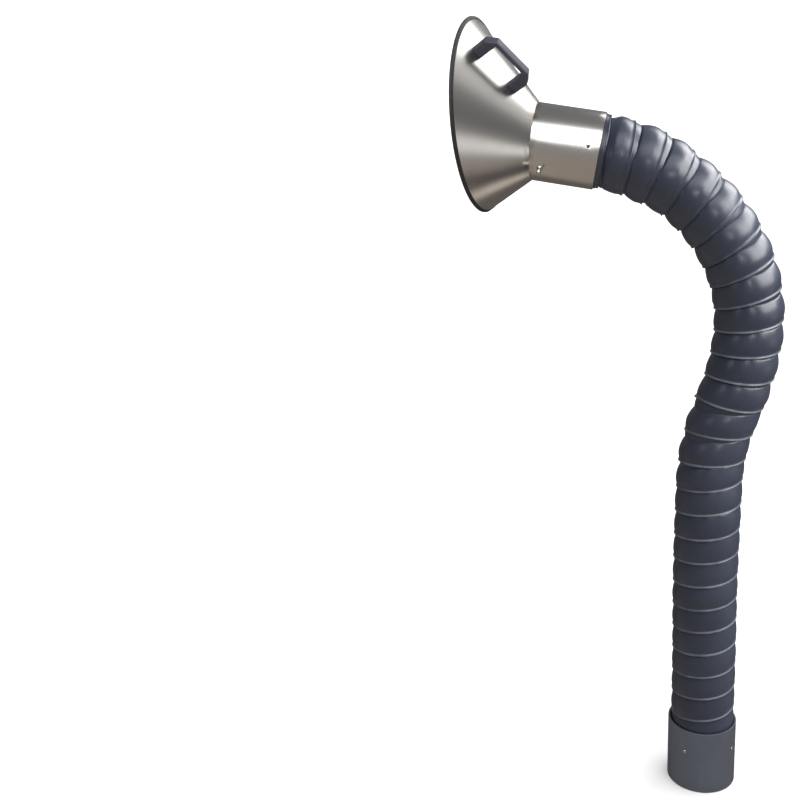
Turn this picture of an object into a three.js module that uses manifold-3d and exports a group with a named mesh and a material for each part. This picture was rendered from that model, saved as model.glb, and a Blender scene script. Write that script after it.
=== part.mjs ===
// Fume extraction arm: a pipe collar at the base, a spirally wound self-holding hose and an
// oblique steel hood. Millimetres, +Z up. The origin is the centre of the base collar's lower end.
// The arm stands in the XZ plane and its hood faces -X.
import * as THREE from 'three';
import { mergeVertices } from 'three/addons/utils/BufferGeometryUtils.js';
import Module from 'manifold-3d';

const wasm = await Module();
wasm.setup();

// Fits
const SEAT_GAP = 0.3; // between faces that bear on each other
const HOSE_BASE_FIT = 0.8; // radial room of the hose in the base collar
const JOINT_GAP = 1; // between the domed ends of neighbouring hose lengths

// Base collar, a cut length of pipe
const BASE_HEIGHT = 112;
const BASE_WALL = 3.2;
const BASE_EDGE_BEVEL = 0.8;
const BASE_SCREW_COUNT = 4;
const BASE_SCREW_DROP = 39; // below the upper rim
const BASE_SCREW_TURN = -32; // degrees from +X to the first screw
const BASE_SCREW_DIAMETER = 3;
const BASE_SCREW_HEAD_DIAMETER = 6;
const BASE_SCREW_HEAD_HEIGHT = 1.8;
const BASE_SCREW_BITE = 4; // into the hose wall, below the crest

// Hose, a strip wound into a right-handed spiral
const HOSE_DIAMETER = 102;
const HOSE_PITCH = 41;
const HOSE_PHASE = 14; // height of a seam above the hose's lower end, on the +X side
const HOSE_SEAM_DEPTH = 3.2;
const HOSE_WALL = 3.3; // under the seam
const HOSE_SEAT = 65; // depth of the hose in the base collar
const HOSE_TOP_SEAT = 58; // depth of the hose in the hood collar
// One turn of the strip: share of the pitch above its lip, share of the seam's depth below the crest
const STRIP_PROFILE = [[0, 0.2], [0.5, 0], [0.955, 1]];

// Bends of the hose at rest, in degrees, positive towards the hood side
const FIRST_JOINT_RISE = 60; // above the base collar's rim
const LINK_TURNS = 3; // turns of the strip between two joints
const LINK_BENDS = [1, -1.5, -0.5, -20.5, 18.5, 29, 25];
const LAST_RUN = 130; // from the last joint to the hood collar
const LAST_BEND = 28;
const JOINT_REACH = 30; // how far a domed end stands past its joint

// Hood sleeve and collar
const SLEEVE_WALL = 3.6;
const SLEEVE_SHOW = 8; // tapered rim in front of the steel collar
const SLEEVE_RIM = 1; // wall left at the tapered rim
const SHEET = 0.8;
const COLLAR_LENGTH = 95;
const COLLAR_CUT_TILT = 6; // degrees, the welded end is longer on the handle side
const FIX_HOLE_DIAMETER = 4.5;
const FIX_HOLE_INSET = 16; // from the hose end of the collar
const FIX_HOLE_TURN = -48; // degrees around the collar from the handle
const RIVET_DIAMETER = 4;
const RIVET_HEAD_DIAMETER = 8.5;
const RIVET_HEAD_HEIGHT = 1.8;
const RIVET_TAIL_DIAMETER = 6.4;
const RIVET_TAIL_HEIGHT = 3;
const RIVET_INSET = 16; // from the welded end of the collar, at its middle
const RIVET_TURNS = [-92, 88]; // degrees around the collar from the handle

// Hood cone and edge trim
const HOOD_TURN = 33; // degrees, the handle side turned from the top of the bend towards -Y
const MOUTH_DIAMETER = 275;
const MOUTH_REACH = 83; // from the welded end to the mouth's centre, along the collar
const MOUTH_OFFSET = 30; // of the mouth's centre towards the handle
const MOUTH_TILT = 16.5; // degrees, the mouth faces away from the handle
const TRIM_WALL = 1.3;
const TRIM_DEPTH = 5;
const TRIM_LIP = 1.6; // beyond the cut edge of the cone

// Handle and its fasteners
const HANDLE_FROM_RIM = 74.5; // from the mouth's edge to the handle's middle, along the cone
const HANDLE_LENGTH = 87;
const HANDLE_HEIGHT = 35;
const HANDLE_WIDTH = 14;
const HANDLE_LEG = 15.5;
const HANDLE_BAR = 6;
const HANDLE_CHAMFER = 12.5;
const HANDLE_EDGE = 0.8;
const INSERT_DIAMETER = 7.4;
const INSERT_LENGTH = 14;
const HANDLE_SCREW_DIAMETER = 4.8;
const HANDLE_SCREW_BITE = 11; // into the insert
const HANDLE_SCREW_HEAD_DIAMETER = 9;
const HANDLE_SCREW_HEAD_HEIGHT = 3.4;
const WASHER_DIAMETER = 12;
const WASHER_HEIGHT = 1;

// Facets
const HOSE_SIDES = 14;
const BORE_SIDES = 8;
const BORE_STEP = 41; // between rings of the bore
const ROUND_SIDES = 48;
const DOME_SIDES = 24;
const SMALL_SIDES = 16;

// Sizes that follow from those above
const HOSE_RADIUS = HOSE_DIAMETER / 2;
const BORE_RADIUS = HOSE_RADIUS - HOSE_SEAM_DEPTH - HOSE_WALL;
const BASE_BORE_RADIUS = HOSE_RADIUS + HOSE_BASE_FIT;
const BASE_RADIUS = BASE_BORE_RADIUS + BASE_WALL;
const SLEEVE_BORE_RADIUS = HOSE_RADIUS + SEAT_GAP;
const SLEEVE_RADIUS = SLEEVE_BORE_RADIUS + SLEEVE_WALL;
const COLLAR_BORE_RADIUS = SLEEVE_RADIUS + SEAT_GAP;
const COLLAR_RADIUS = COLLAR_BORE_RADIUS + SHEET;
const DOME_RADIUS = Math.hypot(HOSE_RADIUS, JOINT_REACH);
const HANDLE_HOLE_SPACING = HANDLE_LENGTH - HANDLE_LEG;
const radians = THREE.MathUtils.degToRad;

// Solids: joining and cutting of closed meshes

function solidOf(geometry, matrix = new THREE.Matrix4()) {
  const bare = geometry.clone().applyMatrix4(matrix);
  bare.deleteAttribute('normal');
  bare.deleteAttribute('uv');
  const merged = mergeVertices(bare, 1e-4);
  return new wasm.Manifold(new wasm.Mesh({
    numProp: 3,
    vertProperties: new Float32Array(merged.attributes.position.array),
    triVerts: new Uint32Array(merged.index.array),
  }));
}

function geometryOf(solid) {
  const mesh = solid.getMesh();
  const geometry = new THREE.BufferGeometry();
  const places = new Float32Array(mesh.vertProperties);
  geometry.setAttribute('position', new THREE.BufferAttribute(places, 3));
  geometry.setIndex(new THREE.BufferAttribute(new Uint32Array(mesh.triVerts), 1));
  geometry.computeVertexNormals();
  return geometry;
}

function triangleMesh(points, triangles) {
  const geometry = new THREE.BufferGeometry();
  const places = points.flatMap((p) => [p.x, p.y, p.z]);
  geometry.setAttribute('position', new THREE.Float32BufferAttribute(places, 3));
  geometry.setIndex(triangles.flat());
  geometry.computeVertexNormals();
  return geometry;
}

// A closed band of equal sections, each a closed outline of points. The faces are turned outwards.
function sweptRing(sections) {
  const count = sections[0].length;
  const points = sections.flat();
  const index = (i, j) => (i % sections.length) * count + (j % count);
  const triangles = [];
  let volume = 0;
  for (let i = 0; i < sections.length; i += 1) {
    for (let j = 0; j < count; j += 1) {
      const quad = [index(i, j), index(i + 1, j), index(i + 1, j + 1), index(i, j + 1)];
      for (const [a, b, c] of [[quad[0], quad[1], quad[2]], [quad[0], quad[2], quad[3]]]) {
        triangles.push([a, b, c]);
        volume += points[a].dot(points[b].clone().cross(points[c]));
      }
    }
  }
  return triangleMesh(points, volume > 0 ? triangles : triangles.map(([a, b, c]) => [a, c, b]));
}

// A tube through rings of points, with a fan over each end
function closedTube(rings, firstTip, lastTip) {
  const sides = rings[0].length;
  const points = [...rings.flat(), firstTip, lastTip];
  const tipIndex = rings.length * sides;
  const lastRing = (rings.length - 1) * sides;
  const triangles = [];
  for (let j = 0; j < sides; j += 1) {
    const next = (j + 1) % sides;
    for (let i = 0; i < rings.length - 1; i += 1) {
      const low = i * sides;
      const high = low + sides;
      triangles.push([low + j, low + next, high + next], [low + j, high + next, high + j]);
    }
    triangles.push([tipIndex, next, j], [tipIndex + 1, lastRing + j, lastRing + next]);
  }
  return triangleMesh(points, triangles);
}

function lathed(outline, sides) {
  const closed = [...outline, outline[0]].map(([r, z]) => new THREE.Vector2(r, z));
  return new THREE.LatheGeometry(closed, sides).rotateX(Math.PI / 2);
}

// A turned piece about +Z: a head at z = 0 and below, a shank above it
function turned(outline, sides = SMALL_SIDES) {
  const points = outline.map(([r, z]) => new THREE.Vector2(r, z));
  return new THREE.LatheGeometry(points, sides).rotateX(Math.PI / 2);
}

function drill(diameter, length, matrix) {
  const bit = new THREE.CylinderGeometry(diameter / 2, diameter / 2, length, SMALL_SIDES);
  return solidOf(bit.rotateX(Math.PI / 2), matrix);
}

// Frames: a matrix whose Z axis points the given way, at the given place

function frameAt(origin, x, z) {
  const y = z.clone().cross(x);
  return new THREE.Matrix4().makeBasis(x, y, z).setPosition(origin);
}

function radialFrame(turn, radius, height) {
  const angle = radians(turn);
  const out = new THREE.Vector3(Math.cos(angle), Math.sin(angle), 0);
  return frameAt(out.clone().multiplyScalar(radius).setZ(height), new THREE.Vector3(0, 0, 1), out);
}

// Centreline of the hose: arcs end to end in the XZ plane, straight beyond its ends

const SIDE = new THREE.Vector3(0, 1, 0);
const HOSE_RUNS = [
  { length: HOSE_SEAT + FIRST_JOINT_RISE, bend: 0 },
  ...LINK_BENDS.map((bend) => ({ length: LINK_TURNS * HOSE_PITCH, bend: radians(bend) })),
  { length: LAST_RUN, bend: radians(LAST_BEND) },
];
const RUN_ENDS = HOSE_RUNS.map((run, i) =>
  HOSE_RUNS.slice(0, i + 1).reduce((sum, { length }) => sum + length, 0));
const JOINT_STATIONS = RUN_ENDS.slice(0, -1);
const COLLAR_STATION = RUN_ENDS.at(-1);
const HOSE_END = COLLAR_STATION + HOSE_TOP_SEAT;

function directions(angle) {
  return {
    along: new THREE.Vector3(-Math.sin(angle), 0, Math.cos(angle)),
    out: new THREE.Vector3(Math.cos(angle), 0, Math.sin(angle)),
  };
}

function station(distance) {
  const point = new THREE.Vector3(0, 0, BASE_HEIGHT - HOSE_SEAT);
  let angle = 0;
  let left = distance;
  for (const { length, bend } of HOSE_RUNS) {
    const part = Math.min(left, length);
    const turn = left < 0 ? 0 : (bend * part) / length;
    const chord = Math.abs(turn) < 1e-9 ? part : (2 * part * Math.sin(turn / 2)) / turn;
    point.addScaledVector(directions(angle + turn / 2).along, chord);
    angle += turn;
    left -= part;
    if (left <= 0) break;
  }
  const { along, out } = directions(angle);
  if (left > 0) point.addScaledVector(along, left);
  return { point, along, out };
}

function hosePoint(distance, angle, radius) {
  const { point, out } = station(distance);
  return point.addScaledVector(out, radius * Math.cos(angle))
    .addScaledVector(SIDE, radius * Math.sin(angle));
}

// The wound strip as a closed rod. Its rows of points follow the spiral, so a row ends where the row
// one turn above it starts.
function woundRod(from, to) {
  const rows = STRIP_PROFILE.length;
  const profileAt = (row) => STRIP_PROFILE[((row % rows) + rows) % rows];
  const rowStart = (row) => HOSE_PHASE + HOSE_PITCH * (Math.floor(row / rows) + profileAt(row)[0]);
  let first = Math.floor((from - HOSE_PHASE) / HOSE_PITCH) * rows;
  while (rowStart(first) < from) first += 1;
  let last = first;
  while (rowStart(last + 1) + HOSE_PITCH < to) last += 1;
  const points = [];
  for (let row = first; row <= last; row += 1) {
    const radius = HOSE_RADIUS - HOSE_SEAM_DEPTH * profileAt(row)[1];
    for (let j = 0; j < HOSE_SIDES; j += 1) {
      const share = j / HOSE_SIDES;
      points.push(hosePoint(rowStart(row) + HOSE_PITCH * share, 2 * Math.PI * share, radius));
    }
  }
  const index = (row, j) => (j < HOSE_SIDES ? (row - first) * HOSE_SIDES + j
    : (row - first + rows) * HOSE_SIDES);
  const triangles = [];
  for (let row = first; row < last; row += 1) {
    for (let j = 0; j < HOSE_SIDES; j += 1) {
      if (j === HOSE_SIDES - 1 && row + 1 + rows > last) continue;
      const [a, b] = [index(row, j), index(row, j + 1)];
      const [c, d] = [index(row + 1, j + 1), index(row + 1, j)];
      triangles.push([a, b, c], [a, c, d]);
    }
  }
  const around = Array.from({ length: HOSE_SIDES }, (_, j) => j);
  const lowEdge = [
    ...around.map((j) => index(first, j)),
    ...STRIP_PROFILE.map((_, i) => index(first + rows - i, 0)),
  ];
  const highEdge = [
    ...around.map((j) => index(last, j)),
    ...STRIP_PROFILE.map((_, i) => index(last - 1 - i, HOSE_SIDES - 1)),
  ];
  const tips = [rowStart(first), rowStart(last) + HOSE_PITCH].map((s) => station(s).point);
  const tip = points.push(...tips) - 2;
  lowEdge.forEach((v, i) => triangles.push([tip, lowEdge[(i + 1) % lowEdge.length], v]));
  highEdge.forEach((v, i) => triangles.push([tip + 1, v, highEdge[(i + 1) % highEdge.length]]));
  return solidOf(triangleMesh(points, triangles));
}

// The hose's bore as a closed rod
function boreRod(from, to) {
  const steps = Math.ceil((to - from) / BORE_STEP);
  const stations = Array.from({ length: steps + 1 }, (_, i) => from + ((to - from) * i) / steps);
  const rings = stations.map((s) => Array.from({ length: BORE_SIDES }, (_, j) =>
    hosePoint(s, (2 * Math.PI * j) / BORE_SIDES, BORE_RADIUS)));
  return solidOf(closedTube(rings, station(from).point, station(to).point));
}

// A dome about a joint, or a block beyond a station, which trims the end of a hose length
function dome(distance, radius) {
  const { point, along, out } = station(distance);
  const ball = new THREE.SphereGeometry(radius, DOME_SIDES, DOME_SIDES / 2).rotateX(Math.PI / 2);
  return solidOf(ball, frameAt(point, out, along));
}

function blockBeyond(distance, sense) {
  const length = JOINT_REACH + 3 * HOSE_PITCH;
  const { point, along, out } = station(distance);
  const reach = 1.8 * HOSE_RADIUS;
  const block = new THREE.CylinderGeometry(reach, reach, length, SMALL_SIDES);
  const centre = point.addScaledVector(along, (sense * length) / 2);
  return solidOf(block.rotateX(Math.PI / 2), frameAt(centre, out, along));
}

function hoseLength(number) {
  const lowJoint = JOINT_STATIONS[number - 1];
  const highJoint = JOINT_STATIONS[number];
  const low = lowJoint ?? 0;
  const high = highJoint ?? HOSE_END;
  const overrun = 1.5 * HOSE_PITCH;
  let solid = woundRod(low - overrun, high + JOINT_REACH + overrun);
  solid = solid.subtract(boreRod(low - 2 * overrun, high + JOINT_REACH + 2 * overrun));
  let lowTrim = blockBeyond(low, -1);
  if (lowJoint !== undefined) lowTrim = lowTrim.add(dome(low, DOME_RADIUS + JOINT_GAP));
  let highTrim = blockBeyond(high, 1);
  if (highJoint !== undefined) highTrim = highTrim.subtract(dome(high, DOME_RADIUS));
  return solid.subtract(lowTrim).subtract(highTrim);
}

// Finishes

const finish = (color, roughness, metalness) =>
  new THREE.MeshStandardMaterial({ color, roughness, metalness });
const HOSE_PVC = [0x3e4350, 0.35, 0];
const PIPE_PVC = [0x54585f, 0.5, 0];
const STAINLESS = [0xb9b6b0, 0.35, 1];
const ZINC = [0xc4c4c2, 0.4, 1];
const TRIM_PVC = [0x28282a, 0.6, 0];
const HANDLE_PLASTIC = [0x36363e, 0.55, 0];
const BRASS = [0xb08d4c, 0.4, 1];

const arm = new THREE.Group();

function place(parent, name, geometry, material) {
  const mesh = new THREE.Mesh(geometry, finish(...material));
  mesh.name = name;
  parent.add(mesh);
}

// Base collar and its screws

const baseScrewHeight = BASE_HEIGHT - BASE_SCREW_DROP;
const baseScrewFrames = Array.from({ length: BASE_SCREW_COUNT }, (_, i) =>
  radialFrame(BASE_SCREW_TURN + (360 * i) / BASE_SCREW_COUNT, BASE_RADIUS, baseScrewHeight));
const baseScrewReach = BASE_RADIUS - HOSE_RADIUS + BASE_SCREW_BITE;
const baseScrewHole = BASE_SCREW_DIAMETER + 2 * SEAT_GAP;
const holeLength = 2 * (baseScrewReach + SEAT_GAP);

function baseCollar() {
  const [inner, outer, bevel] = [BASE_BORE_RADIUS, BASE_RADIUS, BASE_EDGE_BEVEL];
  const outline = [
    [inner, bevel], [inner + bevel, 0], [outer - bevel, 0], [outer, bevel],
    [outer, BASE_HEIGHT - bevel], [outer - bevel, BASE_HEIGHT],
    [inner + bevel, BASE_HEIGHT], [inner, BASE_HEIGHT - bevel],
  ];
  let solid = solidOf(lathed(outline, ROUND_SIDES));
  for (const frame of baseScrewFrames) {
    solid = solid.subtract(drill(baseScrewHole, holeLength, frame));
  }
  return geometryOf(solid);
}

function baseScrew() {
  const [shank, head] = [BASE_SCREW_DIAMETER / 2, BASE_SCREW_HEAD_DIAMETER / 2];
  const [top, rim] = [BASE_SCREW_HEAD_HEIGHT + SEAT_GAP, SEAT_GAP + BASE_SCREW_HEAD_HEIGHT / 3];
  const tip = -baseScrewReach;
  return turned([
    [0, tip], [shank, tip + shank], [shank, SEAT_GAP], [head, SEAT_GAP], [head, rim],
    [0.7 * head, top], [0, top],
  ]);
}

place(arm, 'base_collar', baseCollar(), PIPE_PVC);
baseScrewFrames.forEach((frame, i) => {
  place(arm, `base_screw_${i + 1}`, baseScrew().applyMatrix4(frame), ZINC);
});

// Hose lengths

for (let number = 0; number <= JOINT_STATIONS.length; number += 1) {
  let solid = hoseLength(number);
  if (number === 0) {
    for (const frame of baseScrewFrames) solid = solid.subtract(drill(baseScrewHole, holeLength, frame));
  }
  place(arm, `hose_section_${number + 1}`, geometryOf(solid), HOSE_PVC);
}

// Hood: its own frame has +Z along the collar towards the mouth and +X towards the handle

const hood = new THREE.Group();
const hoodStation = station(COLLAR_STATION);
const handleSide = hoodStation.out.clone().multiplyScalar(Math.cos(radians(HOOD_TURN)))
  .addScaledVector(SIDE, -Math.sin(radians(HOOD_TURN)));
hood.applyMatrix4(frameAt(hoodStation.point, handleSide, hoodStation.along));
arm.add(hood);

function hoodSleeve() {
  const rim = SLEEVE_BORE_RADIUS + SLEEVE_RIM;
  return lathed([
    [SLEEVE_BORE_RADIUS, -SLEEVE_SHOW], [rim, -SLEEVE_SHOW], [SLEEVE_RADIUS, 0],
    [SLEEVE_RADIUS, HOSE_TOP_SEAT], [SLEEVE_BORE_RADIUS, HOSE_TOP_SEAT],
  ], ROUND_SIDES);
}

function rivetFrame(turn) {
  const angle = radians(turn);
  const rise = COLLAR_RADIUS * Math.cos(angle) * Math.tan(radians(COLLAR_CUT_TILT));
  return radialFrame(turn, COLLAR_RADIUS, COLLAR_LENGTH - RIVET_INSET + rise);
}

function hoodCollar() {
  const overlong = 2 * COLLAR_LENGTH;
  let solid = solidOf(lathed([
    [COLLAR_BORE_RADIUS, 0], [COLLAR_RADIUS, 0],
    [COLLAR_RADIUS, overlong], [COLLAR_BORE_RADIUS, overlong],
  ], ROUND_SIDES));
  const waste = new THREE.BoxGeometry(4 * COLLAR_RADIUS, 4 * COLLAR_RADIUS, overlong)
    .translate(0, 0, overlong / 2);
  const cut = new THREE.Matrix4().makeRotationY(-radians(COLLAR_CUT_TILT));
  solid = solid.subtract(solidOf(waste, cut.setPosition(0, 0, COLLAR_LENGTH)));
  const through = 4 * SLEEVE_WALL;
  const fixHole = radialFrame(FIX_HOLE_TURN, COLLAR_RADIUS, FIX_HOLE_INSET);
  solid = solid.subtract(drill(FIX_HOLE_DIAMETER, through, fixHole));
  for (const turn of RIVET_TURNS) {
    solid = solid.subtract(drill(RIVET_DIAMETER + 2 * SEAT_GAP, through, rivetFrame(turn)));
  }
  return geometryOf(solid);
}

function hoodRivet() {
  const [shank, head] = [RIVET_DIAMETER / 2, RIVET_HEAD_DIAMETER / 2];
  const tail = RIVET_TAIL_DIAMETER / 2;
  const inside = -SHEET - SEAT_GAP - tail ** 2 / (2 * COLLAR_BORE_RADIUS);
  const end = inside - RIVET_TAIL_HEIGHT;
  const top = SEAT_GAP + RIVET_HEAD_HEIGHT;
  return turned([
    [0, end], [0.7 * tail, end], [tail, inside - RIVET_TAIL_HEIGHT / 3], [tail, inside],
    [shank, inside], [shank, SEAT_GAP], [head, SEAT_GAP], [head, SEAT_GAP + RIVET_HEAD_HEIGHT / 4],
    [0.6 * head, top], [0, top],
  ]);
}

// The cone's ruling at an angle from the handle: its ends on the weld and on the mouth, and the
// sheet's outward normal
function ruling(angle) {
  const tilt = radians(MOUTH_TILT);
  const weldHeight = (x) => COLLAR_LENGTH + SEAT_GAP + x * Math.tan(radians(COLLAR_CUT_TILT));
  const ends = (a) => {
    const [c, s] = [Math.cos(a), Math.sin(a)];
    const across = (MOUTH_DIAMETER / 2) * c;
    return {
      weld: new THREE.Vector3(
        COLLAR_RADIUS * c, COLLAR_RADIUS * s, weldHeight(COLLAR_RADIUS * c)),
      mouth: new THREE.Vector3(
        MOUTH_OFFSET + across * Math.cos(tilt), (MOUTH_DIAMETER / 2) * s,
        COLLAR_LENGTH + MOUTH_REACH + across * Math.sin(tilt)),
    };
  };
  const { weld, mouth } = ends(angle);
  const [before, after] = [ends(angle - 1e-4), ends(angle + 1e-4)];
  const around = after.weld.add(after.mouth).sub(before.weld).sub(before.mouth);
  const inward = weld.clone().sub(mouth).normalize();
  return { weld, mouth, inward, normal: inward.clone().cross(around).normalize() };
}

const rulings = Array.from({ length: ROUND_SIDES }, (_, i) =>
  ruling((2 * Math.PI * i) / ROUND_SIDES));

// Handle frame: on the cone's longest ruling, +X towards the collar and +Z out of the sheet
const handleRuling = ruling(0);
const handleMiddle = handleRuling.mouth.clone().addScaledVector(handleRuling.inward, HANDLE_FROM_RIM);
const handleFrame = frameAt(handleMiddle, handleRuling.inward, handleRuling.normal);
const shareFromRim = HANDLE_FROM_RIM / handleRuling.mouth.distanceTo(handleRuling.weld);
const coneRadiusAtHandle = THREE.MathUtils.lerp(MOUTH_DIAMETER / 2, COLLAR_RADIUS, shareFromRim);
const handleHoles = [-1, 1].map((sense) =>
  new THREE.Matrix4().setPosition((sense * HANDLE_HOLE_SPACING) / 2, 0, 0));
const handleHoleFrames = handleHoles.map((hole) => handleFrame.clone().multiply(hole));
const handleScrewHole = HANDLE_SCREW_DIAMETER + 2 * SEAT_GAP;

function hoodCone() {
  const sections = rulings.map(({ weld, mouth, normal }) => [
    weld, mouth,
    mouth.clone().addScaledVector(normal, -SHEET), weld.clone().addScaledVector(normal, -SHEET),
  ]);
  let solid = solidOf(sweptRing(sections));
  for (const frame of handleHoleFrames) {
    solid = solid.subtract(drill(handleScrewHole, HANDLE_LEG, frame));
  }
  return geometryOf(solid);
}

// Channel over the mouth's edge: a U whose slot takes the sheet
function hoodTrim() {
  const half = SHEET / 2 + SEAT_GAP;
  const outside = half + TRIM_WALL;
  const outline = [
    [-TRIM_LIP, -outside], [TRIM_DEPTH, -outside], [TRIM_DEPTH, -half], [-SEAT_GAP, -half],
    [-SEAT_GAP, half], [TRIM_DEPTH, half], [TRIM_DEPTH, outside], [-TRIM_LIP, outside],
  ];
  return sweptRing(rulings.map(({ mouth, inward, normal }) => outline.map(([u, w]) =>
    mouth.clone().addScaledVector(inward, u).addScaledVector(normal, w - SHEET / 2))));
}

function handle() {
  const [half, height, chamfer] = [HANDLE_LENGTH / 2, HANDLE_HEIGHT, HANDLE_CHAMFER];
  const [inner, under] = [half - HANDLE_LEG, height - HANDLE_BAR];
  const profile = new THREE.Shape([
    [-half, 0], [-inner, 0], [-inner, under], [inner, under], [inner, 0], [half, 0],
    [half, height - chamfer], [half - chamfer, height], [chamfer - half, height], [-half, height - chamfer],
  ].map(([x, z]) => new THREE.Vector2(x, z)));
  const body = new THREE.ExtrudeGeometry(profile, {
    depth: HANDLE_WIDTH - 2 * HANDLE_EDGE, bevelEnabled: true, bevelSegments: 1,
    bevelThickness: HANDLE_EDGE, bevelSize: HANDLE_EDGE, bevelOffset: -HANDLE_EDGE,
  }).translate(0, 0, HANDLE_EDGE - HANDLE_WIDTH / 2).rotateX(Math.PI / 2);
  let solid = solidOf(body.translate(0, 0, SEAT_GAP));
  const pocketDepth = INSERT_LENGTH + 2 * SEAT_GAP;
  for (const hole of handleHoles) {
    solid = solid.subtract(drill(INSERT_DIAMETER + 2 * SEAT_GAP, 2 * pocketDepth, hole));
  }
  return geometryOf(solid).applyMatrix4(handleFrame);
}

function handleInsert() {
  const [bore, outer] = [HANDLE_SCREW_DIAMETER / 2 + SEAT_GAP, INSERT_DIAMETER / 2];
  const top = SEAT_GAP + INSERT_LENGTH;
  return lathed([[bore, SEAT_GAP], [outer, SEAT_GAP], [outer, top], [bore, top]], SMALL_SIDES);
}

// The washer's rim meets the hollow side of the cone first
const washerSag = (WASHER_DIAMETER / 2) ** 2 / (2 * coneRadiusAtHandle);
const washerTop = -SHEET - SEAT_GAP - washerSag;
const washerBottom = washerTop - WASHER_HEIGHT;

function handleWasher() {
  const [bore, outer] = [HANDLE_SCREW_DIAMETER / 2 + SEAT_GAP, WASHER_DIAMETER / 2];
  return lathed([
    [bore, washerBottom], [outer, washerBottom], [outer, washerTop], [bore, washerTop],
  ], SMALL_SIDES);
}

function handleScrew() {
  const [shank, head] = [HANDLE_SCREW_DIAMETER / 2, HANDLE_SCREW_HEAD_DIAMETER / 2];
  const under = washerBottom - SEAT_GAP;
  const crown = under - HANDLE_SCREW_HEAD_HEIGHT;
  const rim = under - HANDLE_SCREW_HEAD_HEIGHT / 2;
  return turned([
    [0, crown], [0.7 * head, crown], [head, rim], [head, under], [shank, under],
    [shank, HANDLE_SCREW_BITE], [0, HANDLE_SCREW_BITE],
  ]);
}

place(hood, 'hood_sleeve', hoodSleeve(), PIPE_PVC);
place(hood, 'hood_collar', hoodCollar(), STAINLESS);
RIVET_TURNS.forEach((turn, i) => {
  place(hood, `hood_rivet_${i + 1}`, hoodRivet().applyMatrix4(rivetFrame(turn)), ZINC);
});
place(hood, 'hood_cone', hoodCone(), STAINLESS);
place(hood, 'hood_edge_trim', hoodTrim(), TRIM_PVC);
place(hood, 'handle', handle(), HANDLE_PLASTIC);
handleHoleFrames.forEach((frame, i) => {
  place(hood, `handle_insert_${i + 1}`, handleInsert().applyMatrix4(frame), BRASS);
  place(hood, `handle_washer_${i + 1}`, handleWasher().applyMatrix4(frame), ZINC);
  place(hood, `handle_screw_${i + 1}`, handleScrew().applyMatrix4(frame), ZINC);
});

export default arm;
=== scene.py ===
"""Looks of a fume extraction arm: pipe base, wound PVC hose, oblique steel hood with trim and bridge handle.

Lengths of the pieces are in millimetres in their own frames and are set into the row frame in metres.
"""

import logging
import math
from collections.abc import Callable, Sequence
from dataclasses import dataclass
from enum import Enum

import bpy
import numpy as np
from mathutils import Matrix, Vector


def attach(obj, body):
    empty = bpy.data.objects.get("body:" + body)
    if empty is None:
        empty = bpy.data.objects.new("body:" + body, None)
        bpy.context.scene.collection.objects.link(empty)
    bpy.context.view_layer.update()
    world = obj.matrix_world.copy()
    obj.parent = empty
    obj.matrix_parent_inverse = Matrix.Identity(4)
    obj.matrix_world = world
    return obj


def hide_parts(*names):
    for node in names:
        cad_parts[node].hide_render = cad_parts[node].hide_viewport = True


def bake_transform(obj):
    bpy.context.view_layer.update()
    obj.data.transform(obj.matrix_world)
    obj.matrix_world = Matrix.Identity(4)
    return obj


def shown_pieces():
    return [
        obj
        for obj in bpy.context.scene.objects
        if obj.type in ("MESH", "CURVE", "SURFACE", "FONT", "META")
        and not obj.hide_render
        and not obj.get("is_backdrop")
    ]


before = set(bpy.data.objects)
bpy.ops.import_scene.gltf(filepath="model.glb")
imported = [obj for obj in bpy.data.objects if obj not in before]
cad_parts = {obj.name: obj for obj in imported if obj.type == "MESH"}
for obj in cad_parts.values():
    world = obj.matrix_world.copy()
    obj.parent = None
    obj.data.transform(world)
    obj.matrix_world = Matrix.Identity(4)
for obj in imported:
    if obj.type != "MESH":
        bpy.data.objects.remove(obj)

LOG = logging.getLogger("arm")
MM = 0.001


class Slot(str, Enum):
    """Material slots of the record."""

    PIPE = "pipe_grey"
    HOSE = "hose_pvc"
    STEEL = "stainless"
    ZINC = "zinc"
    TRIM = "trim_black"
    HANDLE = "handle_black"
    BRASS = "brass"


class Pick(str, Enum):
    """What an edit-mode selection is made of."""

    VERT = "VERT"
    EDGE = "EDGE"
    FACE = "FACE"


def smoothstep(value: np.ndarray | float) -> np.ndarray | float:
    """Eases a share from 0 to 1, flat at both ends."""
    t = np.clip(value, 0.0, 1.0)
    return t * t * (3.0 - 2.0 * t)


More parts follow.
